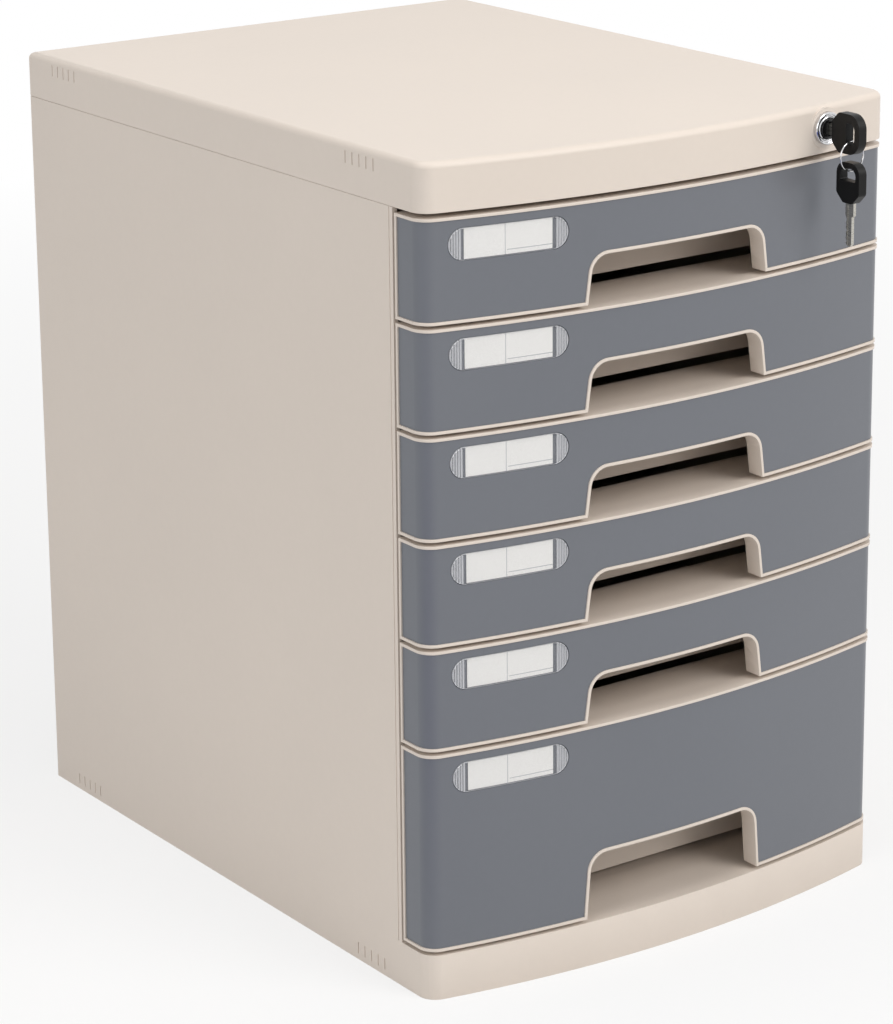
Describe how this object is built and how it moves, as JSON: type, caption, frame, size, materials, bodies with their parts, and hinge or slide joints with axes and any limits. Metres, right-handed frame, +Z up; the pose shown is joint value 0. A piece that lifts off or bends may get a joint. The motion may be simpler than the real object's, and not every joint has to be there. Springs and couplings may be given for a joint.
{
  "type": "desktop file drawer",
  "caption": "Bowed-front desktop cabinet with stacked shallow drawers over a deep one, finger notches, label windows, one lock for all drawers and two keys on a ring.",
  "frame": {"origin": "on the desk under the middle of the casing's back edge", "axes": "+Z up, the drawer fronts face -Y, +X to the right seen from the front"},
  "size_m": [0.295, 0.4181, 0.43],
  "materials": {
    "beige_plastic": "fine satin",
    "grey_plastic": "fine satin",
    "clear_plastic": "clear",
    "card": "plain white card",
    "rubber": "matt",
    "zinc_steel": "zinc plated",
    "bright_metal": "polished",
    "black_plug": "black",
    "black_plastic": "satin",
    "key_metal": "nickel plated",
    "ring_wire": "polished"
  },
  "bodies": {
    "casing": {"cover": "beige_plastic", "base": "beige_plastic", "side_left": "beige_plastic", "side_right": "beige_plastic", "back_panel": "beige_plastic", "feet": "rubber", "base_screws": "zinc_steel", "back_screws": "zinc_steel", "lock_barrel": "bright_metal", "lock_clip": "zinc_steel"},
    "plug": {"lock_plug": "black_plug", "lock_cam": "zinc_steel", "cam_screw": "zinc_steel"},
    "bar": {"lock_bar": "zinc_steel", "lock_arm": "zinc_steel", "lock_tabs": "zinc_steel"},
    "key": {"key_grip": "black_plastic", "key_blade": "key_metal"},
    "ring": {"key_ring": "ring_wire"},
    "spare_key": {"spare_grip": "black_plastic", "spare_blade": "key_metal"},
    "drawer_1": {"front_1": "beige_plastic", "tray_1": "beige_plastic", "runners_1": "beige_plastic", "facing_1": "grey_plastic", "window_1": "clear_plastic", "card_1": "card"},
    "drawer_2": {"front_2": "beige_plastic", "tray_2": "beige_plastic", "runners_2": "beige_plastic", "facing_2": "grey_plastic", "window_2": "clear_plastic", "card_2": "card"},
    "drawer_3": {"front_3": "beige_plastic", "tray_3": "beige_plastic", "runners_3": "beige_plastic", "facing_3": "grey_plastic", "window_3": "clear_plastic", "card_3": "card"},
    "drawer_4": {"front_4": "beige_plastic", "tray_4": "beige_plastic", "runners_4": "beige_plastic", "facing_4": "grey_plastic", "window_4": "clear_plastic", "card_4": "card"},
    "drawer_5": {"front_5": "beige_plastic", "tray_5": "beige_plastic", "runners_5": "beige_plastic", "facing_5": "grey_plastic", "window_5": "clear_plastic", "card_5": "card"},
    "drawer_6": {"front_6": "beige_plastic", "tray_6": "beige_plastic", "runners_6": "beige_plastic", "facing_6": "grey_plastic", "window_6": "clear_plastic", "card_6": "card"}
  },
  "joints": [
    {"name": "drawer_1_slide", "type": "slide", "parent": "casing", "child": "drawer_1", "axis": [0, -1, 0], "range_m": [0, 0.25]},
    {"name": "drawer_2_slide", "type": "slide", "parent": "casing", "child": "drawer_2", "axis": [0, -1, 0], "range_m": [0, 0.25]},
    {"name": "drawer_3_slide", "type": "slide", "parent": "casing", "child": "drawer_3", "axis": [0, -1, 0], "range_m": [0, 0.25]},
    {"name": "drawer_4_slide", "type": "slide", "parent": "casing", "child": "drawer_4", "axis": [0, -1, 0], "range_m": [0, 0.25]},
    {"name": "drawer_5_slide", "type": "slide", "parent": "casing", "child": "drawer_5", "axis": [0, -1, 0], "range_m": [0, 0.25]},
    {"name": "drawer_6_slide", "type": "slide", "parent": "casing", "child": "drawer_6", "axis": [0, -1, 0], "range_m": [0, 0.25]},
    {"name": "plug_turn", "type": "hinge", "parent": "casing", "child": "plug", "pos_m": [0.097, -0.3906, 0.4183], "axis": [0, 1, 0], "range_deg": [0, 90]},
    {"name": "bar_drop", "type": "slide", "parent": "casing", "child": "bar", "axis": [0, 0, -1], "range_m": [0, 0.00778]},
    {"name": "key_pull", "type": "slide", "parent": "plug", "child": "key", "axis": [0, -1, 0], "range_m": [0, 0.25]},
    {"name": "ring_turn", "type": "hinge", "parent": "key", "child": "ring", "pos_m": [0.097, -0.4078, 0.40973], "axis": [0, 1, 0], "range_deg": [-90, 0]},
    {"name": "spare_key_swing", "type": "hinge", "parent": "ring", "child": "spare_key", "pos_m": [0.097, -0.4078, 0.39932], "axis": [1, 0, 0], "range_deg": [-20, 12]}
  ],
  "couplings": [
    {"joint": "plug_turn", "follows": "bar_drop", "rad_per_m": 201.95},
    {"joint": "ring_turn", "follows": "bar_drop", "rad_per_m": -201.95},
    {"joint": "key_pull", "follows": "drawer_1_slide", "ratio": 1}
  ]
}
